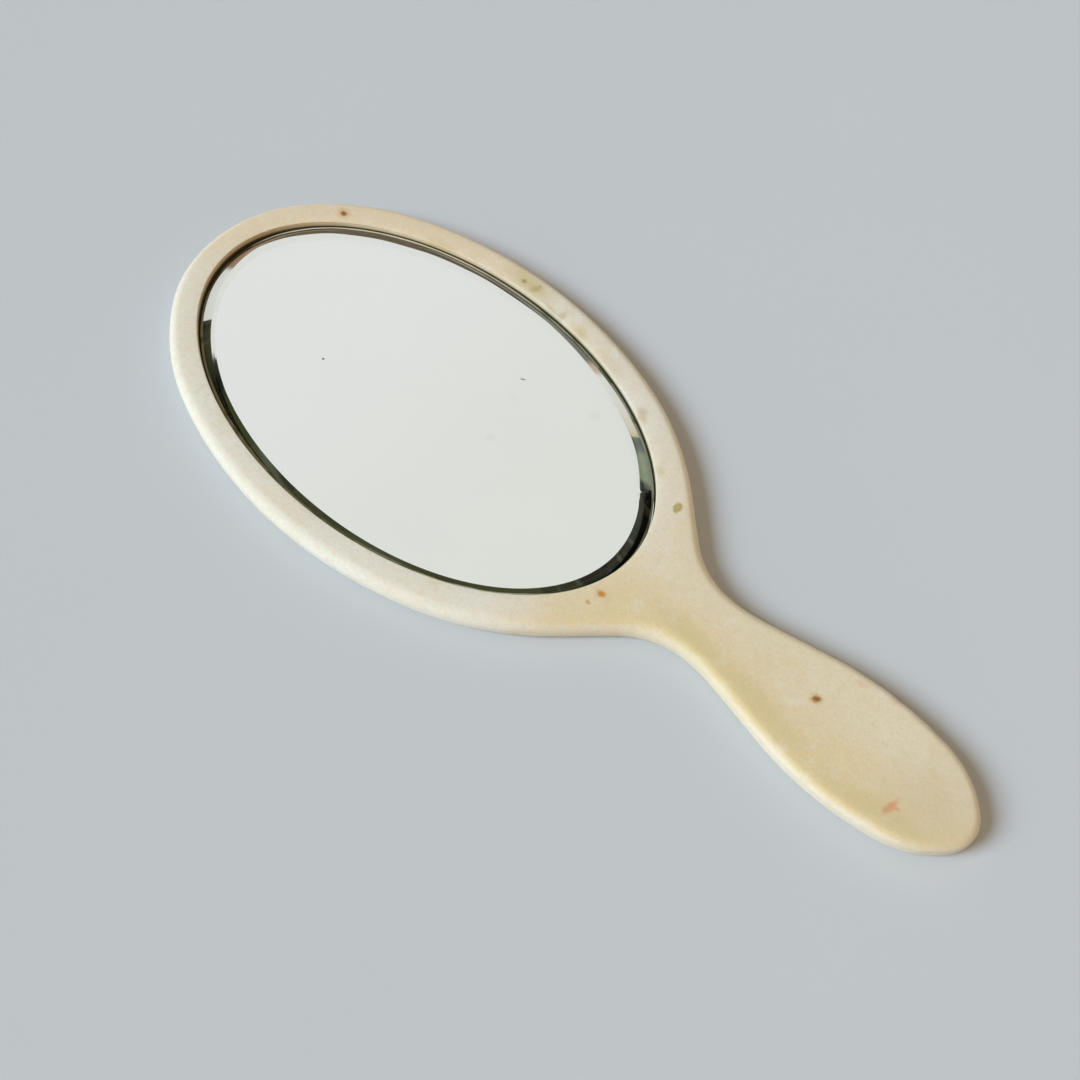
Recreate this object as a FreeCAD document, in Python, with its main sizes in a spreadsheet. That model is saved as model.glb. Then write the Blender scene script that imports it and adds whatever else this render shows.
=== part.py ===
import FreeCAD, Part
import math
import os

import Sketcher

# Dressing-table hand mirror: one flat plate shaped as an oval head, a waisted neck and a paddle
# handle, with an oval bevelled looking glass bedded in a recess in the front of the head.
# Frame: origin on the back (resting) face under the centre of the glass, +X along the handle
# towards its tip, +Z out of the front face. Millimetres and degrees.

SIZES = {
    # the plate's outline, a chain of tangent arcs from the crown of the head to the handle's tip
    "crown_reach": 86.6,            # from the head's centre to the far end of the head
    "crown_radius": 38.5,
    "brow_radius": 70.0,
    "cheek_radius": 137.0,
    "head_half_width": 54.1,
    "shoulder_start": 45.0,         # where the cheek arc hands over to the tighter shoulder arc
    "shoulder_radius": 89.0,
    "neck_place": 105.2,            # the narrowest point of the neck
    "neck_half_width": 9.9,
    "neck_head_radius": 25.5,       # the hollow of the neck on the side of the head
    "neck_handle_radius": 42.0,     # and on the side of the handle
    "swell_place": 149.4,           # the widest point of the handle
    "swell_half_width": 16.4,
    "swell_radius": 85.0,
    "butt_radius": 25.0,
    "tip_radius": 9.0,
    "tip_reach": 183.2,             # from the head's centre to the handle's tip
    # the plate's section
    "plate_thickness": 6.8,
    "front_rounding": 2.6,
    "back_rounding": 2.4,
    # the oval recess for the glass
    "recess_half_length": 77.7,
    "recess_half_width": 46.25,
    "recess_depth": 5.0,
    "rim_rounding": 0.35,
    # what lies in the recess, from its floor up
    "card_thickness": 0.6,
    "paint_thickness": 0.1,
    "silver_thickness": 0.1,
    "glass_thickness": 3.0,
    "cement_width": 0.3,            # the gap between the glass's edge and the recess's wall
    "cement_height": 1.8,
    # the bevel, ground by hand a little askew of the oval
    "bevel_half_length": 73.8,      # of the flat part of the glass that the bevel leaves
    "bevel_half_width": 43.7,
    "bevel_askew": 1.76,            # clockwise, seen from the front
    "bevel_slope": 25.0,
    "bevel_overrun": 5.5,           # how far out the sloping face is carried before it is trimmed
    "trim_width": 12.0,             # of the ring that is trimmed off round the glass
}

FLOOR = "sizes.plate_thickness - sizes.recess_depth"
PAINT_BASE = FLOOR + " + sizes.card_thickness"
SILVER_BASE = PAINT_BASE + " + sizes.paint_thickness"
GLASS_BASE = SILVER_BASE + " + sizes.silver_thickness"
RECESS_OVAL = ("sizes.recess_half_length", "sizes.recess_half_width")
GLASS_OVAL = tuple(f"({half} - sizes.cement_width)" for half in RECESS_OVAL)
TRIM_OVAL = tuple(f"({half} + sizes.trim_width)" for half in GLASS_OVAL)
CREST_OVAL = ("sizes.bevel_half_length", "sizes.bevel_half_width")
FOOT_OVAL = tuple(f"({half} + sizes.bevel_overrun)" for half in CREST_OVAL)
FOOT_HEIGHT = "sizes.glass_thickness - sizes.bevel_overrun * tan(sizes.bevel_slope * 1 deg)"

# how the sketcher numbers the ends and centre of a line or arc, and the sketch's own axes
START, END, CENTRE = 1, 2, 3
LONG_AXIS, CROSS_AXIS, ORIGIN_POINT = -1, -2, (-1, 1)

TOLERANCE = 1e-4

doc = FreeCAD.newDocument("hand_mirror")


def make_sheet():
    """The spreadsheet of driving dimensions."""
    table = doc.addObject("Spreadsheet::Sheet", "sizes")
    for row, (alias, value) in enumerate(SIZES.items(), start=1):
        table.set(f"A{row}", alias)
        table.set(f"B{row}", str(value))
        table.setAlias(f"B{row}", alias)
    doc.recompute()


def new_body(label, base="0"):
    """An empty body whose own base stands at a height given as a formula of the sheet."""
    body = doc.addObject("PartDesign::Body", label)
    body.Label = label
    body.setExpression("Placement.Base.z", base)
    return body


def origin_plane(body, role):
    return [plane for plane in body.Origin.OriginFeatures if plane.Role == role][0]


def flat_sketch(body, name, height="0"):
    """An empty sketch parallel to the resting face, at a height above the body's own base."""
    sketch = body.newObject("Sketcher::SketchObject", name)
    sketch.AttachmentSupport = [(origin_plane(body, "XY_Plane"), "")]
    sketch.MapMode = "FlatFace"
    sketch.setExpression("AttachmentOffset.Base.z", height)
    return sketch


def relate(sketch, kind, *where):
    """Adds a geometric constraint, which has no size of its own, to a sketch."""
    sketch.addConstraint(Sketcher.Constraint(kind, *where))


def dimension(sketch, name, formula, kind, *where, drawn):
    """Adds a dimension to a sketch and binds it to a formula of the sheet."""
    index = sketch.addConstraint(Sketcher.Constraint(kind, *where, drawn))
    sketch.renameConstraint(index, name)
    sketch.setExpression(f"Constraints.{name}", formula)


def add_feature(body, kind, name, **sizes):
    """Adds a feature to a body and binds its sizes to formulas of the sheet."""
    feature = body.newObject(f"PartDesign::{kind}", name)
    for prop, formula in sizes.items():
        feature.setExpression(prop, formula)
    return feature


def draw_oval(sketch, name, half_axes, askew=None):
    """An ellipse about the body's axis, its long way along +X or turned clockwise by askew."""
    drawn = (SIZES["recess_half_length"], SIZES["recess_half_width"])
    oval = sketch.addGeometry(Part.Ellipse(FreeCAD.Vector(0, 0, 0), *drawn))
    sketch.exposeInternalGeometry(oval)
    long_line, short_line = oval + 1, oval + 2
    relate(sketch, "Coincident", oval, CENTRE, *ORIGIN_POINT)
    dimension(sketch, f"{name}_length", f"2 * {half_axes[0]}", "Distance", long_line, drawn=2 * drawn[0])
    dimension(sketch, f"{name}_width", f"2 * {half_axes[1]}", "Distance", short_line, drawn=2 * drawn[1])
    if askew:
        dimension(sketch, f"{name}_askew", f"-{askew} * 1 deg", "Angle", long_line, drawn=0.0)
    else:
        relate(sketch, "Horizontal", long_line)


class Outline:
    """Half of the plate's outline, drawn from the crown of the head over +Y to the handle's tip."""

    def __init__(self, sketch, begin):
        self.sketch = sketch
        self.place = FreeCAD.Vector(*begin, 0)
        self.last = None
        self.first = None

    def add(self, curve, leaving, arriving, end):
        run = self.sketch.addGeometry(curve)
        if self.last is None:
            self.first = (run, leaving)
        else:
            relate(self.sketch, "Tangent", *self.last, run, leaving)
        self.last = (run, arriving)
        self.place = end
        return run

    def line(self, end):
        end = FreeCAD.Vector(*end, 0)
        return self.add(Part.LineSegment(self.place, end), START, END, end)

    def arc(self, name, end, hollow=False):
        """An arc with the radius called name. The sketcher counts every arc's ends
        counterclockwise, so a round arc is left at its end and reached at its start."""
        end = FreeCAD.Vector(*end, 0)
        radius = SIZES[f"{name}_radius"]
        chord = end - self.place
        towards_axis = FreeCAD.Vector(chord.y, -chord.x, 0).normalize()
        apothem = math.sqrt(radius ** 2 - (chord.Length / 2) ** 2)
        bulge = towards_axis * (radius - apothem) * (1 if hollow else -1)
        curve = Part.Arc(self.place, (self.place + end) / 2 + bulge, end)
        ends = (START, END) if hollow else (END, START)
        run = self.add(curve, *ends, end)
        dimension(self.sketch, f"{name}_radius", f"sizes.{name}_radius", "Radius", run, drawn=radius)
        return run


def draw_half_outline(sketch):
    """The joints between the arcs are drawn about where they belong; the tangencies and the
    dimensions then settle them."""
    outline = Outline(sketch, (-SIZES["crown_reach"], 0))
    crown = outline.arc("crown", (-78, 24))
    outline.arc("brow", (-48, 46))
    cheek = outline.arc("cheek", (45, 46))
    outline.arc("shoulder", (75, 28))
    outline.line((88, 16.5))
    neck_head = outline.arc("neck_head", (105, 9.9), hollow=True)
    neck_handle = outline.arc("neck_handle", (114, 10.8), hollow=True)
    outline.line((131, 14.6))
    swell = outline.arc("swell", (163.5, 15.3))
    outline.arc("butt", (181, 5))
    tip = outline.arc("tip", (SIZES["tip_reach"], 0))
    axis = sketch.addGeometry(Part.LineSegment(outline.place, FreeCAD.Vector(-SIZES["crown_reach"], 0, 0)))
    relate(sketch, "Coincident", axis, START, *outline.last)
    relate(sketch, "Coincident", axis, END, *outline.first)

    for run in (crown, tip):
        relate(sketch, "PointOnObject", run, CENTRE, LONG_AXIS)
    for point in (outline.first, outline.last):
        relate(sketch, "PointOnObject", *point, LONG_AXIS)
    relate(sketch, "PointOnObject", cheek, CENTRE, CROSS_AXIS)
    relate(sketch, "Vertical", neck_head, CENTRE, neck_handle, CENTRE)
    places = (
        ("crown_reach", "-sizes.crown_reach", "DistanceX", outline.first, -86.6),
        ("tip_reach", "sizes.tip_reach", "DistanceX", outline.last, 183),
        ("cheek_centre", "sizes.head_half_width - sizes.cheek_radius", "DistanceY", (cheek, CENTRE), -83),
        ("shoulder_start", "sizes.shoulder_start", "DistanceX", (cheek, START), 45),
        ("neck_place", "sizes.neck_place", "DistanceX", (neck_head, CENTRE), 105),
        ("neck_centre", "sizes.neck_half_width + sizes.neck_head_radius", "DistanceY", (neck_head, CENTRE), 35),
        ("swell_place", "sizes.swell_place", "DistanceX", (swell, CENTRE), 149),
        ("swell_centre", "sizes.swell_half_width - sizes.swell_radius", "DistanceY", (swell, CENTRE), -68),
    )
    for name, formula, kind, point, drawn in places:
        dimension(sketch, name, formula, kind, *ORIGIN_POINT, *point, drawn=drawn)


def edges_at(shape, height, ovals):
    """The names of a shape's edges that lie flat at a height: the ellipses, or all but those."""
    names = []
    for number, edge in enumerate(shape.Edges, start=1):
        box = edge.BoundBox
        flat = abs(box.ZMin - height) < TOLERANCE and abs(box.ZMax - height) < TOLERANCE
        if flat and isinstance(edge.Curve, Part.Ellipse) == ovals:
            names.append(f"Edge{number}")
    return names


def round_edges(body, name, height, size, ovals=False):
    """Rounds the edges of a body that lie flat at a height."""
    doc.recompute()
    base = body.Tip
    rounding = add_feature(body, "Fillet", name, Radius=f"sizes.{size}")
    rounding.Base = (base, edges_at(base.Shape, height, ovals))
    return rounding


def make_frame():
    """The one-piece plate: half an outline padded and mirrored, rounded, and recessed."""
    body = new_body("frame")
    half = flat_sketch(body, "half_outline")
    draw_half_outline(half)
    pad = add_feature(body, "Pad", "half_plate", Length="sizes.plate_thickness")
    pad.Profile = half
    doc.recompute()

    plate = add_feature(body, "Mirrored", "plate")
    plate.Originals = [pad]
    plate.MirrorPlane = (origin_plane(body, "XZ_Plane"), [""])
    body.Tip = plate
    round_edges(body, "rounded_front", SIZES["plate_thickness"], "front_rounding")
    round_edges(body, "rounded_back", 0, "back_rounding")

    opening = flat_sketch(body, "recess_outline", "sizes.plate_thickness")
    draw_oval(opening, "recess", RECESS_OVAL)
    recess = add_feature(body, "Pocket", "recess", Length="sizes.recess_depth")
    recess.Profile = opening
    round_edges(body, "eased_rim", SIZES["plate_thickness"], "rim_rounding", ovals=True)
    return body


def make_oval_layer(label, base, thickness):
    """A thin sheet cut to the glass's oval."""
    body = new_body(label, base)
    outline = flat_sketch(body, f"{label}_outline")
    draw_oval(outline, "edge", GLASS_OVAL)
    pad = add_feature(body, "Pad", f"{label}_sheet", Length=thickness)
    pad.Profile = outline
    return body


def make_cement():
    """The bead of setting cement round the glass and the sheets behind it."""
    body = new_body("glazing_cement", FLOOR)
    ring = flat_sketch(body, "cement_ring")
    draw_oval(ring, "wall", RECESS_OVAL)
    draw_oval(ring, "glass", GLASS_OVAL)
    pad = add_feature(body, "Pad", "cement_bead", Length="sizes.cement_height")
    pad.Profile = ring
    return body


def make_glass():
    """The pane: a slab with a sloping face all round, both made oversize and trimmed to the oval.
    The flat that the slope leaves sits askew of the oval, so the bevel's width varies."""
    body = new_body("mirror_glass", GLASS_BASE)
    foot = flat_sketch(body, "bevel_foot", FOOT_HEIGHT)
    draw_oval(foot, "foot", FOOT_OVAL, "sizes.bevel_askew")
    slab = add_feature(body, "Pad", "slab", Length=FOOT_HEIGHT)
    slab.Profile = foot
    slab.Reversed = True

    crest = flat_sketch(body, "bevel_crest", "sizes.glass_thickness")
    draw_oval(crest, "crest", CREST_OVAL, "sizes.bevel_askew")
    bevel = add_feature(body, "AdditiveLoft", "bevel")
    bevel.Profile = foot
    bevel.Sections = [crest]
    bevel.Ruled = True

    trim = flat_sketch(body, "trim_ring", "sizes.glass_thickness")
    draw_oval(trim, "outer", TRIM_OVAL)
    draw_oval(trim, "edge", GLASS_OVAL)
    cut = add_feature(body, "Pocket", "trimmed_edge", Length="sizes.glass_thickness")
    cut.Profile = trim
    return body


def check(bodies):
    """Stops if anything in the document failed, or a piece isn't one sound solid."""
    failed = [item.Name for item in doc.Objects if {"Invalid", "Error"} & set(item.State)]
    if failed:
        raise RuntimeError(f"not recomputed: {failed}")
    for body in bodies:
        if body.Shape.isNull() or not body.Shape.isValid() or len(body.Shape.Solids) != 1:
            raise RuntimeError(f"{body.Label} is not one sound solid")


make_sheet()
pieces = [
    make_frame(),
    make_oval_layer("cushion_card", FLOOR, "sizes.card_thickness"),
    make_oval_layer("backing_paint", PAINT_BASE, "sizes.paint_thickness"),
    make_oval_layer("silver_coating", SILVER_BASE, "sizes.silver_thickness"),
    make_glass(),
    make_cement(),
]
doc.recompute()
check(pieces)
os.makedirs("parts", exist_ok=True)
for piece in pieces:
    piece.Shape.exportStep(f"parts/{piece.Label}.step")
    box = piece.Shape.BoundBox
    print(f"{piece.Label}: {piece.Shape.Volume:.1f} mm3, x {box.XMin:.2f}..{box.XMax:.2f},"
          f" y {box.YMin:.2f}..{box.YMax:.2f}, z {box.ZMin:.2f}..{box.ZMax:.2f}")
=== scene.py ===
import math

import bpy
import numpy as np
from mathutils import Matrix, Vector
from mathutils.geometry import delaunay_2d_cdt


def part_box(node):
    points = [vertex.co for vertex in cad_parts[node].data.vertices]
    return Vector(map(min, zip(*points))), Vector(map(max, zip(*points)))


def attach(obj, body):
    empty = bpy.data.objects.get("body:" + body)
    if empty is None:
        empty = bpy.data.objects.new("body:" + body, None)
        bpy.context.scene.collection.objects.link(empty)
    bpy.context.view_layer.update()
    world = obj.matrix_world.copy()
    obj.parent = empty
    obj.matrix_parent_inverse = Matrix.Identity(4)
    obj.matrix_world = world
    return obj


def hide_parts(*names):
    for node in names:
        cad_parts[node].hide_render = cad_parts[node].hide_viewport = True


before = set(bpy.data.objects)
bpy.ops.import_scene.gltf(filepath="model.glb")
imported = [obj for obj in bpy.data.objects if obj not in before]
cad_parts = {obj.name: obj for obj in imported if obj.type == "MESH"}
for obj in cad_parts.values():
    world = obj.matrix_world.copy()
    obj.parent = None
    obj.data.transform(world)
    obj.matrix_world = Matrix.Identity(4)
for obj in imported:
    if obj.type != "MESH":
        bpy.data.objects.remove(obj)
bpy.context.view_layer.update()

# Looks of a dressing-table hand mirror lying on its back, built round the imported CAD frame.
# Row frame: +X along the handle, +Z out of the glass, origin on the resting face. The far side is
# +Y and the near side -Y. The meshes and the patterns are worked out in millimetres, and the
# meshes written in metres.

MM = 0.001

# sizes read from the CAD nodes
GLASS_LOW, GLASS_HIGH = (np.array(corner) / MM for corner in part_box("mirror_glass"))
CEMENT_LOW, CEMENT_HIGH = (np.array(corner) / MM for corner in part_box("glazing_cement"))
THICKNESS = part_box("frame")[1][2] / MM
RECESS_OVAL = CEMENT_HIGH[:2]
RECESS_FLOOR = CEMENT_LOW[2]
GLASS_OVAL = GLASS_HIGH[:2]

# how fine the meshes are
OUTLINE_POINTS = 720
OVAL_POINTS = 360
BACK_STEPS, FRONT_STEPS, RIM_STEPS = 8, 10, 5
FLAT_RINGS = (0.7, 1.5)          # two more rings on the face, this far past the rounding
COARSE_GRID = 9.0                # spacing of the points on flat faces that hardly show
BACK_GRID = 4.0

# the plate's straight side wall in CAD, as shares of the thickness, and its corners
SIDE_LOW, SIDE_HIGH = 0.34, 0.63
OUTSIDE_RECESS = 1.1             # more than 1 leaves the recess's own wall out
MIDLINE_GAP = 0.3                # corners nearer the midline than this are left out
CORNER_GAP = 0.4                 # and so are corners nearer each other than this

# the plate's section
HEAD_ROUNDING = 3.2
FAR_SHARPER = 1.0                # how much less the far side of the head is rounded
FAR_SIDE = (-10, 30)             # the stretch of y over which that comes in
HANDLE_ROUNDING = 2.3
NECK_STRETCH = (88, 122)         # the stretch of x over which the handle's rounding comes in
BACK_ROUNDING = 2.3
CUSHION_DROP = 0.14              # how much the face falls towards the rounding
CUSHION_WIDTH = 6.0
RIM_ROUNDING = 0.18

# wear of the plate's outline: ripples are each a height, a count round the outline and a phase
WORN_IN = 0.05
SLOW_RIPPLES = ((0.03, 5, 0.7), (0.02, 13, 2.1))
WORN_STRETCH = (128, 142)        # past this x the far side of the handle is worn more
ROUGH_RIPPLES = ((0.025, 61, 0.0), (0.025, 107, 1.0))
NICK_DEPTH, NICK_PLACE, NICK_WIDTH = 0.16, 150.7, 0.9

# the glass; a stretch of the oval is two angles in degrees, from the handle's end counterclockwise
CREST_OVAL = (73.8, 43.7)        # the flat that the bevel leaves
CREST_ASKEW = math.radians(-1.76)
BEVEL_SLOPE = 25
STEEPER = 13                     # how much steeper the bevel was ground at the handle's end
STEEPER_STARTS, STEEPER_ENDS = (-29, -9), (26, 29)
NEAR_STEEPER = 3                 # and along the near long side, which the first stretch ends
NEAR_STARTS = (-115, -85)
STEP_IN = 0.8                    # how much further in the bevel runs just past the steeper part
STEP_STARTS, STEP_ENDS = (26.8, 28.2), (28.5, 46)
GROUND_STRIP = 0.75              # the dull outermost strip of the bevel
STRIP_RIPPLES = ((0.08, 9, 0.0), (0.05, 23, 1.0))
SILVER_OVERLAP = 0.02            # the pane's back lies this deep in the silver
EDGE_GAP = 0.02                  # between the pane's ground edge and the cement

# the putty: across the gap from the glass to the wall, the share of the way and how far it is sunk
PUTTY_SECTION = ((0, 0.2), (0.3, 0.4), (0.7, 0.4), (1, 0.22))
PUTTY_RIPPLES = ((0.045, 7, 1.0), (0.035, 19, 0.0), (0.025, 43, 2.0))


# ---------------------------------------------------------------- meshes

def node_points(name):
    """A CAD node's vertices, in millimetres."""
    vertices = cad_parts[name].data.vertices
    flat = np.zeros(len(vertices) * 3)
    vertices.foreach_get("co", flat)
    return flat.reshape(-1, 3) / MM


def smoothstep(value, low, high):
    """0 at low and 1 at high, smoothly."""
    share = np.clip((value - low) / (high - low), 0, 1)
    return share * share * (3 - 2 * share)


def turns(count):
    """Equally spaced angles once round, in radians."""
    return np.arange(count) * 2 * math.pi / count


def rippled(angles, ripples):
    return sum(height * np.sin(count * angles + phase) for height, count, phase in ripples)


def plate_outline():
    """The plate's outline counterclockwise from the crown, from the CAD node's straight side."""
    points = node_points("frame")
    side = (points[:, 2] > SIDE_LOW * THICKNESS) & (points[:, 2] < SIDE_HIGH * THICKNESS)
    outside = np.sum((points[:, :2] / RECESS_OVAL) ** 2, axis=1) > OUTSIDE_RECESS
    far = points[:, 1] > MIDLINE_GAP
    corners = np.unique(np.round(points[side & outside & far, :2], 3), axis=0)
    kept = [corners[0]]
    for corner in corners[1:]:
        if np.linalg.norm(corner - kept[-1]) > CORNER_GAP:
            kept.append(corner)
    half = np.array(kept)
    crown, tip = points[:, 0].min(), points[:, 0].max()
    return np.vstack([[(crown, 0)], half * (1, -1), [(tip, 0)], half[::-1]])


def resampled(points, count):
    """Points at equal steps along the smooth closed curve, a cubic spline, through the given ones."""
    size = len(points)
    ahead = np.roll(points, -1, axis=0)
    steps = np.linalg.norm(ahead - points, axis=1)
    places = np.concatenate([[0], np.cumsum(steps)])
    matrix = np.zeros((size, size))
    right = np.zeros((size, 2))
    for i in range(size):
        before, after = steps[i - 1], steps[i]
        matrix[i, i - 1] = after
        matrix[i, i] = 2 * (before + after)
        matrix[i, (i + 1) % size] = before
        right[i] = 3 * (after * (points[i] - points[i - 1]) / before
                        + before * (ahead[i] - points[i]) / after)
    slopes = np.linalg.solve(matrix, right)
    at = np.arange(count) * places[-1] / count
    span = np.clip(np.searchsorted(places, at, side="right") - 1, 0, size - 1)
    width = steps[span][:, None]
    t = (at - places[span])[:, None] / width
    leave = slopes[span] * width
    arrive = slopes[(span + 1) % size] * width
    return ((2 * t**3 - 3 * t**2 + 1) * points[span] + (t**3 - 2 * t**2 + t) * leave
            + (3 * t**2 - 2 * t**3) * ahead[span] + (t**3 - t**2) * arrive)


def outward(points):
    """Unit normals of a counterclockwise closed curve."""
    along = np.roll(points, -1, axis=0) - np.roll(points, 1, axis=0)
    normals = np.stack([along[:, 1], -along[:, 0]], axis=1)
    return normals / np.linalg.norm(normals, axis=1)[:, None]


def oval(half_axes, turn=0.0, grown=0.0):
    """A counterclockwise ellipse, grown outwards by a width and turned."""
    t = turns(OVAL_POINTS)
    points = np.stack([half_axes[0] * np.cos(t), half_axes[1] * np.sin(t)], axis=1)
    points = points + grown * outward(points)
    c, s = math.cos(turn), math.sin(turn)
    return points @ np.array([[c, s], [-s, c]])


def within(spots, rim):
    """Which points lie inside a closed curve."""
    x, y = spots[:, 0][:, None], spots[:, 1][:, None]
    ahead = np.roll(rim, -1, axis=0)
    crosses = (rim[:, 1] > y) != (ahead[:, 1] > y)
    never_zero = 1e-12
    rise = np.where(ahead[:, 1] == rim[:, 1], never_zero, ahead[:, 1] - rim[:, 1])
    place = rim[:, 0] + (y - rim[:, 1]) * (ahead[:, 0] - rim[:, 0]) / rise
    return np.sum(crosses & (x < place), axis=1) % 2 == 1


class Mesh:
    """Points in millimetres and faces with a material number each."""

    def __init__(self):
        self.points = []
        self.faces = []
        self.materials = []

    def ring(self, flat, height):
        """Adds a closed ring and returns its indices."""
        start = len(self.points)
        heights = np.broadcast_to(height, len(flat))
        self.points += [(x, y, z) for (x, y), z in zip(flat, heights)]
        return list(range(start, len(self.points)))

    def add(self, face, material):
        self.faces.append(face)
        self.materials.append(material)

    def band(self, low, high, material=0):
        """Quads between two rings of one length. They face outwards if high is above low."""
        size = len(low)
        for i in range(size):
            j = (i + 1) % size
            self.add((low[i], low[j], high[j], high[i]), material)

    def fill(self, outer, hole=None, spacing=3.0, height=None, up=True, material=0):
        """Triangles over the area inside a ring, round a hole, with a grid of points between."""
        row_share, clear_share, merge_distance = 0.866, 0.45, 1e-7
        loops = [outer] + ([hole] if hole else [])
        indices = [i for loop in loops for i in loop]
        flat = np.array([self.points[i][:2] for i in indices])
        edges = []
        start = 0
        for loop in loops:
            size = len(loop)
            edges += [(start + i, start + (i + 1) % size) for i in range(size)]
            start += size
        low, high = flat.min(axis=0), flat.max(axis=0)
        xs = np.arange(low[0] + spacing / 2, high[0], spacing)
        ys = np.arange(low[1] + spacing / 2, high[1], spacing * row_share)
        grid = np.array([(x + (row % 2) * spacing / 2, y) for row, y in enumerate(ys) for x in xs])
        rim = np.array([self.points[i][:2] for i in outer])
        inside = within(grid, rim)
        if hole:
            hole_rim = np.array([self.points[i][:2] for i in hole])
            inside &= ~within(grid, hole_rim)
        grid = grid[inside]
        gaps = np.min(np.linalg.norm(grid[:, None] - flat[None], axis=2), axis=1)
        grid = grid[gaps > spacing * clear_share]
        heights = height(grid) if height else np.full(len(grid), self.points[outer[0]][2])
        first = len(self.points)
        self.points += [(x, y, z) for (x, y), z in zip(grid, heights)]
        indices += range(first, len(self.points))
        spots = [Vector(p) for p in np.vstack([flat, grid])]
        made = delaunay_2d_cdt(spots, edges, [], 0, merge_distance)
        places, _, triangles, origins = made[:4]
        origin = [ids[0] for ids in origins]
        centres = np.array([np.mean([places[v] for v in face], axis=0) for face in triangles])
        keep = within(centres, rim)
        if hole:
            keep &= ~within(centres, hole_rim)
        for face, kept in zip(triangles, keep):
            if kept:
                corners = [indices[origin[v]] for v in face]
                self.add(tuple(corners if up else corners[::-1]), material)


def make_piece(name, mesh_data, replaced, materials, sharp_angle):
    """Writes a mesh as a piece that rides on the root and stands for a CAD node."""
    mesh = bpy.data.meshes.new(name)
    mesh.from_pydata([tuple(p) for p in np.array(mesh_data.points) * MM], [], mesh_data.faces)
    for material in materials:
        mesh.materials.append(material)
    mesh.polygons.foreach_set("material_index", mesh_data.materials)
    mesh.polygons.foreach_set("use_smooth", [True] * len(mesh.polygons))
    mesh.set_sharp_from_angle(angle=math.radians(sharp_angle))
    mesh.update()
    piece = bpy.data.objects.new(name, mesh)
    bpy.context.scene.collection.objects.link(piece)
    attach(piece, "root")
    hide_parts(replaced)
    return piece


def wear(outline):
    """How far the outline is worn in: a slow unevenness everywhere, and a rougher edge with one
    nick along the far side of the handle's end."""
    along = turns(len(outline))
    far = outline[:, 1] > 0
    rough = smoothstep(outline[:, 0], *WORN_STRETCH) * (WORN_IN + rippled(along, ROUGH_RIPPLES))
    nick = NICK_DEPTH * np.exp(-((outline[:, 0] - NICK_PLACE) / NICK_WIDTH) ** 2)
    return WORN_IN + rippled(along, SLOW_RIPPLES) + (rough + nick) * far


def quarter_turn(steps):
    """The sine and cosine at each step of a quarter turn from 0."""
    angles = [math.pi / 2 * step / steps for step in range(steps + 1)]
    return [(math.sin(angle), math.cos(angle)) for angle in angles]


def make_plate(material):
    """The one-piece plate with softly rounded edges and the oval recess."""
    mesh = Mesh()
    outline = resampled(plate_outline(), OUTLINE_POINTS)
    normals = outward(outline)
    outline = outline - normals * wear(outline)[:, None]
    head = HEAD_ROUNDING - FAR_SHARPER * smoothstep(outline[:, 1], *FAR_SIDE)
    front = head + (HANDLE_ROUNDING - head) * smoothstep(outline[:, 0], *NECK_STRETCH)

    def inset(width):
        return outline - normals * np.reshape(width, (-1, 1))

    def cushion(gap):
        return CUSHION_DROP * (1 - smoothstep(gap, 0, CUSHION_WIDTH))

    def face_height(spots):
        gaps = np.min(np.linalg.norm(spots[:, None] - outline[None], axis=2), axis=1)
        return THICKNESS - cushion(gaps)

    rings = []
    for sine, cosine in quarter_turn(BACK_STEPS):
        rings.append(mesh.ring(inset(BACK_ROUNDING * (1 - sine)), BACK_ROUNDING * (1 - cosine)))
    for sine, cosine in quarter_turn(FRONT_STEPS):
        width = front * (1 - cosine)
        rings.append(mesh.ring(inset(width), THICKNESS - front * (1 - sine) - cushion(width)))
    for extra in FLAT_RINGS:
        width = front + extra
        rings.append(mesh.ring(inset(width), THICKNESS - cushion(width)))
    for low, high in zip(rings, rings[1:]):
        mesh.band(low, high)

    rims = []
    for sine, cosine in quarter_turn(RIM_STEPS):
        flat = oval(RECESS_OVAL, grown=RIM_ROUNDING * (1 - sine))
        rims.append(mesh.ring(flat, face_height(flat) - RIM_ROUNDING * (1 - cosine)))
    wall_foot = mesh.ring(oval(RECESS_OVAL), RECESS_FLOOR)
    for high, low in zip(rims, rims[1:] + [wall_foot]):
        mesh.band(low[::-1], high[::-1])
    mesh.fill(rings[-1], rims[0], height=face_height)
    mesh.fill(wall_foot, spacing=COARSE_GRID)
    mesh.fill(rings[0], spacing=BACK_GRID, up=False)
    return make_piece("ivory_plate", mesh, "frame", [material], sharp_angle=50)


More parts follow.
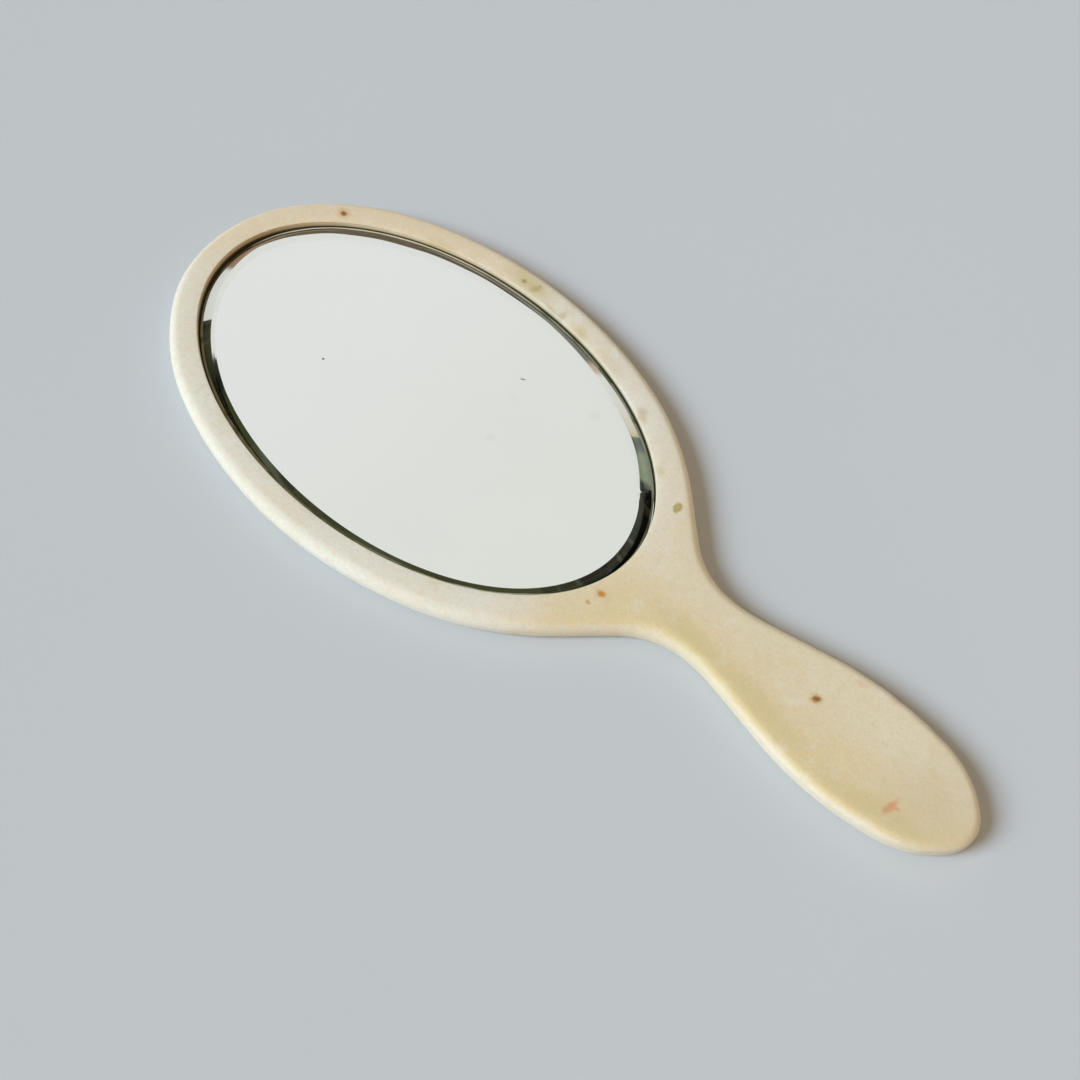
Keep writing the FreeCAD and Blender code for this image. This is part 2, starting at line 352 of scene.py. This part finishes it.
def make_glass(clear, ground):
    """The pane. Its bevel was ground by hand: its flat lies askew of the oval, and its slope and
    its inner edge change along the way."""
    mesh = Mesh()
    crest = oval(CREST_OVAL, turn=CREST_ASKEW)
    normals = outward(crest)
    rim = GLASS_OVAL - EDGE_GAP
    # how far each crest point's normal runs before it meets the oval: a quadratic's larger root
    a = np.sum((normals / rim) ** 2, axis=1)
    b = 2 * np.sum(crest * normals / rim ** 2, axis=1)
    c = np.sum((crest / rim) ** 2, axis=1) - 1
    width = (-b + np.sqrt(b * b - 4 * a * c)) / (2 * a)
    edge = crest + normals * width[:, None]

    t = (turns(OVAL_POINTS) + math.pi) % (2 * math.pi) - math.pi
    degrees = np.degrees(t)
    step_in = smoothstep(degrees, *STEP_STARTS) * (1 - smoothstep(degrees, *STEP_ENDS))
    crest = crest - normals * (STEP_IN * step_in)[:, None]
    width = width + STEP_IN * step_in
    starts = smoothstep(degrees, *STEEPER_STARTS)
    at_handle = starts * (1 - smoothstep(degrees, *STEEPER_ENDS))
    near = smoothstep(degrees, *NEAR_STARTS) * (1 - starts)
    fall = np.tan(np.radians(BEVEL_SLOPE + STEEPER * at_handle + NEAR_STEEPER * near))
    polished = width - GROUND_STRIP - rippled(t, STRIP_RIPPLES)

    top = GLASS_HIGH[2]
    crest_ring = mesh.ring(crest, top)
    strip_ring = mesh.ring(crest + normals * polished[:, None], top - polished * fall)
    edge_ring = mesh.ring(edge, top - width * fall)
    back_ring = mesh.ring(edge, GLASS_LOW[2] - SILVER_OVERLAP)
    mesh.band(strip_ring, crest_ring, 0)
    mesh.band(edge_ring, strip_ring, 1)
    mesh.band(back_ring, edge_ring, 1)
    mesh.fill(crest_ring, spacing=COARSE_GRID)
    mesh.fill(back_ring, spacing=COARSE_GRID, up=False)
    return make_piece("bevelled_glass", mesh, "mirror_glass", [clear, ground], sharp_angle=5)


def make_cement(material):
    """The old dark putty in the gap, sunk a little between the glass and the wall."""
    mesh = Mesh()
    bottom, top = CEMENT_LOW[2], CEMENT_HIGH[2]
    uneven = rippled(turns(OVAL_POINTS), PUTTY_RIPPLES)
    rings = [mesh.ring(oval(GLASS_OVAL), bottom)]
    for share, sunk in PUTTY_SECTION:
        flat = oval(GLASS_OVAL + (RECESS_OVAL - GLASS_OVAL) * share)
        rings.append(mesh.ring(flat, top - sunk + uneven))
    rings.append(mesh.ring(oval(RECESS_OVAL), bottom))
    for inner, outer in zip(rings, rings[1:] + rings[:1]):
        mesh.band(outer, inner)
    return make_piece("old_putty", mesh, "glazing_cement", [material], sharp_angle=60)


# ---------------------------------------------------------------- materials

# In the tables below a step is two values, where something has not begun and where it is full.

# the ivory's noises: how many to the millimetre, the detail and the roughness
IVORY_NOISES = {
    "broad": (0.022, 3, 0.55),
    "clouds": (0.07, 4, 0.6),
    "patches": (0.22, 3, 0.6),
    "fine": (0.45, 4, 0.65),
    "grain": (1.5, 3, 0.75),
}
IVORY, CREAM = (0.83, 0.755, 0.595), (0.845, 0.79, 0.675)
CREAM_STEP = (0.35, 0.65)
# mottles that follow a noise: its name, the step, the strength and the colour
CLOUDING = (("clouds", (0.48, 0.72), 0.8, (0.80, 0.685, 0.47)),)
MOTTLES = (
    ("fine", (0.46, 0.72), 0.25, (0.69, 0.53, 0.31)),
    ("patches", (0.52, 0.70), 0.35, (0.86, 0.80, 0.69)),
    ("grain", (0.45, 0.75), 0.34, (0.64, 0.53, 0.36)),
    ("grain", (0.45, 0.25), 0.40, (0.93, 0.88, 0.78)),
)
# the handle's yellowing, stronger on the near side and on the face
HANDLE_YELLOW = (0.80, 0.63, 0.33)
HANDLE_STEP, HANDLE_DRIFT = (64, 96), 24.0     # a step along x, and how far the clouds shift it
NEAR_STEP, NEAR_DRIFT = (15.0, -3.0), 16.0     # the same along y
FAR_YELLOW, NEAR_YELLOW_MORE = 0.40, 0.46
SIDE_YELLOW, FACE_YELLOW_MORE = 0.35, 0.65
FACE_DEPTHS = (1.2, 0.25)
# parts of the head with a tint of their own: steps along x and y, the strength and the colour
TINTED_PARTS = (
    ((14, -30), (-24, 14), 0.75, (0.83, 0.655, 0.43)),
    ((66, 30), (0, -34), 0.45, (0.85, 0.83, 0.74)),
)
# painted shade on the recess's wall, darker deeper down: a step in the depth below the face, the
# strength and the colour
RECESS_MARGIN = 0.5
INSIDE_RECESS = (1.002, 0.998)
WALL_PAINTED_SHADE = (
    ((0.6, 1.4), 0.55, (0.44, 0.37, 0.22)),
    ((1.4, 1.85), 1.0, (0.085, 0.075, 0.040)),
)
# painted shade along the plate's foot, where it meets what it lies on
FOOT_SHADE_STEP, FOOT_SHADE_STRENGTH, FOOT_PAINTED_SHADE = (1.2, 0.0), 0.35, (0.55, 0.42, 0.24)
# hair scratches along the plate
SCRATCH_TURN, SCRATCH_SCALE, SCRATCH_NOISE = (0, 0, 0.4), (0.15, 2.2, 1), (1.0, 5, 0.7)

# marks on the front face: centre, half-lengths, turn, softness, colour and strength
RUST, UMBER = (0.28, 0.11, 0.012), (0.27, 0.12, 0.004)
OCHRE, OLIVE = (0.62, 0.27, 0.04), (0.42, 0.32, 0.06)
ROSE, HONEY, DUSKY = (0.76, 0.30, 0.15), (0.58, 0.46, 0.16), (0.62, 0.50, 0.31)
STAINS = (
    ((-63.9, 31.2), (1.9, 1.5), 0, 0.9, OCHRE, 0.55),
    ((-63.7, 31.0), (0.95, 0.7), 0, 0.6, RUST, 0.95),
    ((-3.0, 49.6), (7.0, 2.6), -4, 0.9, HONEY, 0.55),
    ((-5.3, 49.0), (0.8, 0.6), 10, 0.7, OLIVE, 0.9),
    ((-0.7, 49.2), (1.8, 1.0), 60, 0.8, OLIVE, 0.5),
    ((-0.4, 51.0), (0.5, 0.4), 0, 0.7, OLIVE, 0.6),
    ((7.7, 46.7), (2.6, 0.7), -12, 0.8, OLIVE, 0.35),
    ((11.7, 47.0), (1.0, 1.6), 0, 0.8, OLIVE, 0.40),
    ((19.7, 46.2), (2.2, 1.4), -20, 0.8, HONEY, 0.45),
    ((50.6, 37.0), (1.8, 1.3), -40, 0.8, OLIVE, 0.40),
    ((52.3, 35.4), (1.1, 0.9), 0, 0.8, OCHRE, 0.30),
    ((66.5, 26.0), (1.4, 1.0), -60, 0.8, HONEY, 0.35),
    ((52.5, 44.6), (2.0, 0.8), -35, 0.8, ROSE, 0.22),
    ((77.1, 20.4), (1.6, 1.1), 98, 0.35, OLIVE, 0.85),
    ((77.1, 20.4), (0.9, 0.55), 98, 0.5, HONEY, 0.6),
    ((78.9, -12.2), (1.0, 0.8), 0, 0.6, OCHRE, 1.0),
    ((78.9, -12.2), (1.9, 1.5), 0, 0.9, OCHRE, 0.25),
    ((77.9, -16.2), (0.75, 0.55), 0, 0.7, OCHRE, 0.75),
    ((135.9, 2.0), (1.5, 1.05), 42, 0.8, OCHRE, 0.7),
    ((135.9, 2.0), (1.0, 0.72), 42, 0.6, UMBER, 0.95),
    ((164.4, -7.8), (2.2, 0.8), 80, 0.7, ROSE, 0.8),
    ((165.6, -7.2), (0.9, 0.45), 20, 0.7, ROSE, 0.6),
    ((163.6, -9.4), (0.7, 0.5), 0, 0.7, ROSE, 0.5),
    ((141.8, 12.7), (1.6, 0.8), 20, 0.8, ROSE, 0.25),
    ((-32.5, 41.7), (4.0, 2.0), 10, 0.8, HONEY, 0.35),
    ((33.7, 43.6), (5.0, 1.6), -20, 0.8, HONEY, 0.25),
    ((104.0, -6.5), (11.0, 3.0), -8, 0.9, HONEY, 0.30),
    ((126.0, -8.5), (13.0, 3.0), -10, 0.9, HONEY, 0.28),
    ((160.0, -11.0), (12.0, 2.6), 8, 0.9, HONEY, 0.25),
    ((172.0, -2.0), (10.0, 10.0), 0, 0.9, DUSKY, 0.30),
)
STAIN_HEIGHTS = (3.0, 5.0)                      # a step in height that keeps them off the back
STAIN_RAGGED, STAIN_NOISE = 1.3, (0.9, 3, 0.7)  # how far a noise pulls their edges about

# the ground edge of the glass, with painted light at the far end of the head, where that part of the
# edge lies away from the key
EDGE_DARK, EDGE_LIGHT, EDGE_DIRTY = (0.34, 0.36, 0.22), (0.64, 0.65, 0.50), (0.22, 0.23, 0.11)
PAINTED_LIGHT_DIM, PAINTED_LIGHT_BRIGHT = (0.80, 0.70, 0.44), (0.97, 0.93, 0.80)
PAINTED_LIGHT_ALONG, PAINTED_LIGHT_ACROSS = (12.0, -30.0), (4.0, 16.0)

# spoilt places in the silver: centre, half-lengths and strength
FLECKS = (
    ((-29.6, -9.1), (0.34, 0.32), 0.95),
    ((17.2, 24.5), (0.7, 0.2), 0.9),
    ((24.1, 4.0), (1.5, 1.0), 0.04),
    ((40.4, 28.9), (1.8, 1.2), 0.05),
    ((19.4, 18.2), (1.2, 0.8), 0.03),
)
FLECK_TURN, FLECK_SOFT, FLECK_COLOUR = 30, 0.7, (0.03, 0.03, 0.025)
SPECKS_PER_MM, SPECK_STEP, SPECK_STRENGTH, SPECK_COLOUR = 0.11, (0.02, 0.012), 0.5, (0.2, 0.2, 0.18)


class Tree:
    """Adds nodes to a material or a world. A socket is linked, and anything else is set."""

    def __init__(self, owner):
        owner.use_nodes = True
        self.nodes = owner.node_tree.nodes
        self.links = owner.node_tree.links

    def put(self, target, value):
        if isinstance(value, bpy.types.NodeSocket):
            self.links.new(value, target)
        elif target.type == "RGBA":
            target.default_value = (*value, 1)
        else:
            target.default_value = value

    def add(self, kind, inputs, out=0, **settings):
        node = self.nodes.new("ShaderNode" + kind)
        for key, value in settings.items():
            setattr(node, key, value)
        for key, value in inputs.items():
            self.put(node.inputs[key], value)
        return node.outputs[out]

    def plus(self, a, b):
        return self.add("Math", {0: a, 1: b}, operation="ADD")

    def times(self, first, *others):
        for other in others:
            first = self.add("Math", {0: first, 1: other}, operation="MULTIPLY")
        return first

    def total(self, first, *others):
        """The sum of values that each come with a weight."""
        result = self.times(*first)
        for other in others:
            result = self.plus(result, self.times(*other))
        return result

    def mix(self, share, a, b):
        return self.add("Mix", {0: share, 6: a, 7: b}, out=2, data_type="RGBA")

    def step(self, value, low, high):
        """0 at low and 1 at high, smoothly; low may be the larger."""
        inputs = {"Value": value, "From Min": low, "From Max": high}
        return self.add("MapRange", inputs, interpolation_type="SMOOTHSTEP")

    def noise(self, where, scale, detail=2.0, roughness=0.5, out=0):
        inputs = {"Vector": where, "Scale": scale, "Detail": detail, "Roughness": roughness}
        return self.add("TexNoise", inputs, out=out)

    def scaled(self, where, scale):
        return self.add("VectorMath", {0: where, "Scale": scale}, operation="SCALE")

    def length(self, where):
        return self.add("VectorMath", {0: where}, out=1, operation="LENGTH")

    def bump(self, height, distance, strength=1.0):
        return self.add("Bump", {"Height": height, "Distance": distance, "Strength": strength})

    def coordinates(self):
        """The row frame's position in millimetres, and its parts."""
        object_place = 3
        where = self.scaled(self.add("TexCoord", {}, out=object_place), 1 / MM)
        parts = [self.add("SeparateXYZ", {0: where}, out=i) for i in range(3)]
        return (where, *parts)

    def ragged(self, where, reach, noise):
        """A place that a noise pulls about by up to half the reach each way."""
        pull = self.noise(where, *noise, out=1)
        pull = self.add("VectorMath", {0: pull, 1: (0.5, 0.5, 0.5)}, operation="SUBTRACT")
        return self.add("VectorMath", {0: where, 1: self.scaled(pull, reach)}, operation="ADD")

    def spot(self, where, centre, size, turn=0.0, soft=0.5):
        """1 in a spot of half-lengths size about a centre, falling to 0 outside."""
        any_height = 1e4
        inputs = {"Vector": where, "Location": (*centre, 0), "Rotation": (0, 0, math.radians(turn)),
                  "Scale": (*size, any_height)}
        local = self.add("Mapping", inputs, vector_type="TEXTURE")
        return self.step(self.length(local), 1 + soft, 1 - soft)


def new_material(name, **constants):
    """A material, its tree and its shader. What is the same all over is set on the shader."""
    material = bpy.data.materials.new(name)
    tree = Tree(material)
    shader = tree.nodes["Principled BSDF"]
    for key, value in constants.items():
        shader.inputs[key.replace("_", " ")].default_value = value
    return material, tree, shader


def below_face(depth):
    return THICKNESS - depth


def ivory_material():
    material, tree, shader = new_material(
        "old_ivory", IOR=1.53, Subsurface_Weight=0.35, Subsurface_Radius=(1.0, 0.65, 0.35),
        Subsurface_Scale=0.003)
    where, x, y, z = tree.coordinates()
    noises = {name: tree.noise(where, *values) for name, values in IVORY_NOISES.items()}
    broad, clouds, fine = noises["broad"], noises["clouds"], noises["fine"]

    def mottled(colour, mottles):
        for name, step, strength, paint in mottles:
            colour = tree.mix(tree.times(tree.step(noises[name], *step), strength), colour, paint)
        return colour

    colour = tree.mix(tree.step(broad, *CREAM_STEP), IVORY, CREAM)
    colour = mottled(colour, CLOUDING)
    handle = tree.step(tree.plus(x, tree.times(clouds, HANDLE_DRIFT)), *HANDLE_STEP)
    near_side = tree.step(tree.plus(y, tree.times(clouds, NEAR_DRIFT)), *NEAR_STEP)
    face = tree.step(z, *map(below_face, FACE_DEPTHS))
    tinge = tree.plus(tree.times(near_side, NEAR_YELLOW_MORE), FAR_YELLOW)
    exposed = tree.plus(tree.times(face, FACE_YELLOW_MORE), SIDE_YELLOW)
    colour = tree.mix(tree.times(handle, tinge, exposed), colour, HANDLE_YELLOW)
    for along, across, strength, paint in TINTED_PARTS:
        part = tree.times(tree.step(y, *across), tree.step(x, *along), strength)
        colour = tree.mix(part, colour, paint)
    colour = mottled(colour, MOTTLES)

    stained_place = tree.ragged(where, STAIN_RAGGED, STAIN_NOISE)
    front = tree.step(z, *STAIN_HEIGHTS)
    for centre, size, turn, soft, paint, strength in STAINS:
        spot = tree.spot(stained_place, centre, size, turn, soft)
        colour = tree.mix(tree.times(spot, front, strength), colour, paint)

    to_unit_circle = (*(1 / (RECESS_OVAL + RECESS_MARGIN)), 0)
    flat = tree.add("VectorMath", {0: where, 1: to_unit_circle}, operation="MULTIPLY")
    inside = tree.step(tree.length(flat), *INSIDE_RECESS)
    # painted shade: the recess wall is darkened more the deeper it lies below the face
    for depths, strength, paint in WALL_PAINTED_SHADE:
        wall_shade = tree.times(tree.step(z, *map(below_face, depths)), strength)
        colour = tree.mix(tree.times(inside, wall_shade), colour, paint)
    # painted shade: the lowest part of the plate's side is darkened where it meets the floor
    colour = tree.mix(tree.times(tree.step(z, *FOOT_SHADE_STEP), FOOT_SHADE_STRENGTH), colour, FOOT_PAINTED_SHADE)
    tree.put(shader.inputs["Base Color"], colour)

    lengthways = {"Vector": where, "Rotation": SCRATCH_TURN, "Scale": SCRATCH_SCALE}
    hair = tree.noise(tree.add("Mapping", lengthways), *SCRATCH_NOISE)
    least_rough = 0.22
    rough = tree.plus(tree.total((clouds, 0.16), (hair, 0.10)), least_rough)
    tree.put(shader.inputs["Roughness"], rough)
    relief = tree.total((broad, 3.0), (hair, 0.08), (fine, 0.12))
    tree.put(shader.inputs["Normal"], tree.bump(relief, distance=0.0004, strength=0.35))
    return material


def glass_material():
    """Clear glass with the faintest smears."""
    material, tree, shader = new_material(
        "old_glass", Base_Color=(0.975, 0.99, 0.975, 1), Transmission_Weight=1.0, IOR=1.52)
    where, x, y, z = tree.coordinates()
    smear = tree.step(tree.noise(where, 0.05, 4, 0.6), 0.5, 0.8)
    tree.put(shader.inputs["Roughness"], tree.times(smear, 0.012))
    return material


def ground_edge_material():
    """The unpolished edge of the glass, greenish and dirty in places, with painted light at the far
    end of the head.
    """
    material, tree, shader = new_material("ground_glass_edge", Roughness=0.6)
    where, x, y, z = tree.coordinates()
    chips = tree.noise(where, 2.5, 3, 0.7)
    dirt = tree.step(tree.noise(where, 0.12, 2, 0.5), 0.5, 0.65)
    colour = tree.mix(dirt, tree.mix(chips, EDGE_DARK, EDGE_LIGHT), EDGE_DIRTY)
    # painted light: the edge is painted lighter and creamier at the far end of the head, which lies
    # in shade
    painted_light = tree.times(tree.step(x, *PAINTED_LIGHT_ALONG), tree.step(y, *PAINTED_LIGHT_ACROSS))
    colour = tree.mix(painted_light, colour, tree.mix(chips, PAINTED_LIGHT_DIM, PAINTED_LIGHT_BRIGHT))
    tree.put(shader.inputs["Base Color"], colour)
    tree.put(shader.inputs["Normal"], tree.bump(chips, distance=0.0001))
    return material


def silver_material():
    """The silvering, with a slight haze and a few spoilt places."""
    material, tree, shader = new_material("mirror_silver", Metallic=1.0)
    where, x, y, z = tree.coordinates()
    haze = tree.noise(where, 0.03, 3, 0.5)
    colour = tree.mix(haze, (0.90, 0.91, 0.90), (0.93, 0.93, 0.92))
    for centre, size, strength in FLECKS:
        spot = tree.spot(where, centre, size, FLECK_TURN, FLECK_SOFT)
        colour = tree.mix(tree.times(spot, strength), colour, FLECK_COLOUR)
    specks = tree.step(tree.add("TexVoronoi", {"Vector": where, "Scale": SPECKS_PER_MM}), *SPECK_STEP)
    colour = tree.mix(tree.times(specks, SPECK_STRENGTH), colour, SPECK_COLOUR)
    tree.put(shader.inputs["Base Color"], colour)
    tree.put(shader.inputs["Roughness"], tree.times(haze, 0.03))
    return material


def plain_worn_material(name, dark, light, scale, roughness):
    """A rough material that is mottled between two colours."""
    material, tree, shader = new_material(name)
    where, x, y, z = tree.coordinates()
    mottle = tree.noise(where, scale, 5, 0.65)
    tree.put(shader.inputs["Base Color"], tree.mix(tree.step(mottle, 0.35, 0.65), dark, light))
    tree.put(shader.inputs["Normal"], tree.bump(mottle, distance=0.0001))
    tree.put(shader.inputs["Roughness"], tree.plus(tree.times(mottle, 0.2), roughness))
    return material


# ---------------------------------------------------------------- studio

CAMERA_PLACE = (0.15743, -0.11997, 0.28146)
CAMERA_TARGET = Vector((0.05693, -0.01133, 0.0068))
LENS, SENSOR = 40.0, 36.0

KEY_PLACE = (-0.46, -0.655, 0.60)
KEY_WIDTH = math.radians(30)
KEY_ENERGY, KEY_COLOUR = 3.6, (0.66, 0.81, 0.96)

FLOOR_REACH = 4
FLOOR_DARK, FLOOR_LIGHT = (0.61, 0.63, 0.64), (0.63, 0.65, 0.66)

# The room is set out on an imagined ceiling one unit up, where a direction's place is its x and
# its y over its z. Steps in z tell how high in the room something begins.
HORIZON, DOME, DOME_STEP = (0.72, 0.66, 0.54), (0.62, 0.44, 0.22), (0.15, 0.45)
# the white part of the ceiling: centre, half-lengths, turn and softness, then its two whites
WHITE_CEILING = ((-0.45, 0.50), (0.54, 0.68), 0, 0.1)
COOL_WHITE, WARM_WHITE, WHITE_STEP = (0.825, 0.835, 0.835), (0.795, 0.80, 0.765), (-0.80, -0.35)
LOWEST, LOW_STEP, HIGH_STEP = 0.05, (0.25, 0.35), (0.42, 0.54)
# pale clutter in the darker parts
CLUTTER_NOISE, CLUTTER_STEP, CLUTTER_STRENGTH = (22.0, 2, 0.5), (0.56, 0.66), 0.06
CLUTTER_COLOUR = (0.75, 0.78, 0.68)

# The darker parts are each the area beyond some straight lines on the ceiling. A line is the
# direction across it, its distance and its softness. The part's colour comes after its lines.
LEFT, RIGHT, NEAR, FAR = (-1.0, 0.0), (1.0, 0.0), (0.0, -1.0), (0.0, 1.0)
WINDOW, CORNER = (-0.30, 0.954), (-0.72, 0.694)
WINDOW_SIDE = (
    (((WINDOW, 0.795, 0.006), (CORNER, 0.856, 0.006)), (0.010, 0.014, 0.008)),
    (((WINDOW, 0.795, 0.006), ((-0.99, 0.14), 0.715, 0.010)), (0.045, 0.055, 0.020)),
    (((CORNER, 0.945, 0.012), (FAR, 0.44, 0.02)), (0.024, 0.030, 0.014)),
    (((LEFT, 0.842, 0.006), (FAR, 0.20, 0.02)), (0.010, 0.012, 0.010)),
    ((((-0.85, -0.53), 0.502, 0.005), (FAR, 0.08, 0.02)), (0.012, 0.014, 0.012)),
)
END_WALL = (
    (((LEFT, 0.770, 0.004), (NEAR, -0.08, 0.010)), (0.62, 0.56, 0.34)),
    (((LEFT, 0.786, 0.005), (NEAR, -0.08, 0.010)), (0.13, 0.14, 0.13)),
    (((LEFT, 0.90, 0.04), (NEAR, -0.10, 0.010)), (0.27, 0.32, 0.22)),
    (((LEFT, 1.09, 0.012), (NEAR, -0.30, 0.010)), (0.060, 0.066, 0.060)),
    (((LEFT, 1.24, 0.012), (NEAR, -0.30, 0.010)), (0.010, 0.013, 0.010)),
)
OVERHEAD = (
    (((RIGHT, -0.625, 0.008), (NEAR, -0.10, 0.05)), (0.55, 0.44, 0.36)),
    (((RIGHT, -0.605, 0.008), (NEAR, -0.10, 0.05)), (0.17, 0.165, 0.155)),
    (((RIGHT, -0.45, 0.02), (NEAR, -0.10, 0.05)), (0.38, 0.38, 0.32)),
    (((RIGHT, -0.16, 0.05), (NEAR, -0.50, 0.03)), (0.33, 0.22, 0.14)),
)


def stand(name, data):
    """Puts something new in the scene."""
    made = bpy.data.objects.new(name, data)
    bpy.context.scene.collection.objects.link(made)
    return made


def turned_towards(offset):
    """The turn that points a camera or a light along an offset."""
    return offset.to_track_quat("-Z", "Y").to_euler()


def make_camera():
    data = bpy.data.cameras.new("camera")
    data.lens = LENS
    data.sensor_width = SENSOR
    camera = stand("camera", data)
    camera.location = CAMERA_PLACE
    camera.rotation_euler = turned_towards(CAMERA_TARGET - camera.location)
    bpy.context.scene.camera = camera


def make_world():
    """A pale room with a white ceiling over the far side, which the flat of the glass shows, and
    with darker parts, which only its bevel shows."""
    world = bpy.data.worlds.new("studio")
    bpy.context.scene.world = world
    tree = Tree(world)
    way = tree.add("TexCoord", {})
    x, y, z = (tree.add("SeparateXYZ", {0: way}, out=i) for i in range(3))
    up = tree.add("Math", {0: z, 1: LOWEST}, operation="MAXIMUM")
    u, v = (tree.add("Math", {0: part, 1: up}, operation="DIVIDE") for part in (x, y))
    spot = tree.add("CombineXYZ", {0: u, 1: v})

    colour = tree.mix(tree.step(z, *DOME_STEP), HORIZON, DOME)
    white = tree.mix(tree.step(u, *WHITE_STEP), COOL_WHITE, WARM_WHITE)
    colour = tree.mix(tree.spot(spot, *WHITE_CEILING), colour, white)
    above, high_up = tree.step(z, *LOW_STEP), tree.step(z, *HIGH_STEP)
    cluttered = tree.step(tree.noise(spot, *CLUTTER_NOISE), *CLUTTER_STEP)
    clutter = tree.times(cluttered, CLUTTER_STRENGTH, high_up)
    for parts, begins in ((WINDOW_SIDE, above), (END_WALL, high_up), (OVERHEAD, above)):
        for lines, paint in parts:
            share = begins
            for across, distance, soft in lines:
                inputs = {0: spot, 1: (*across, 0)}
                place = tree.add("VectorMath", inputs, out=1, operation="DOT_PRODUCT")
                share = tree.times(share, tree.step(place, distance - soft, distance + soft))
            colour = tree.mix(share, colour, tree.mix(clutter, paint, CLUTTER_COLOUR))
    background = tree.nodes["Background"]
    tree.put(background.inputs["Color"], colour)
    background.inputs["Strength"].default_value = 1.0


def make_key():
    """A large soft light far off on the near long side, which the glass doesn't show."""
    data = bpy.data.lights.new("key", "SUN")
    data.angle = KEY_WIDTH
    data.energy = KEY_ENERGY
    data.color = KEY_COLOUR
    key = stand("key", data)
    key.location = KEY_PLACE
    key.rotation_euler = turned_towards(-key.location)
    key.visible_transmission = False
    key.visible_glossy = False


def make_floor():
    reach = FLOOR_REACH
    corners = [(-reach, -reach, 0), (reach, -reach, 0), (reach, reach, 0), (-reach, reach, 0)]
    mesh = bpy.data.meshes.new("floor")
    mesh.from_pydata(corners, [], [(0, 1, 2, 3)])
    material, tree, shader = new_material("pale_floor", Roughness=0.6)
    where, x, y, z = tree.coordinates()
    cloud = tree.noise(where, 0.008, 3, 0.5)
    tree.put(shader.inputs["Base Color"], tree.mix(cloud, FLOOR_DARK, FLOOR_LIGHT))
    mesh.materials.append(material)
    stand("floor", mesh)


make_camera()
make_world()
make_key()
make_floor()
bpy.context.scene.view_settings.view_transform = "Standard"

make_plate(ivory_material())
make_glass(glass_material(), ground_edge_material())
make_cement(plain_worn_material("dark_putty", (0.015, 0.013, 0.008), (0.075, 0.065, 0.042), 1.2, 0.6))

# the hidden layers keep their CAD meshes: dark and light colour, mottles to the mm, roughness
silver = silver_material()
paint = plain_worn_material("red_lead_paint", (0.22, 0.05, 0.03), (0.33, 0.09, 0.05), 0.3, 0.5)
card = plain_worn_material("grey_card", (0.30, 0.27, 0.22), (0.42, 0.38, 0.31), 0.5, 0.75)
for node, material in (("silver_coating", silver), ("backing_paint", paint), ("cushion_card", card)):
    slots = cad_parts[node].data.materials
    slots.clear()
    slots.append(material)
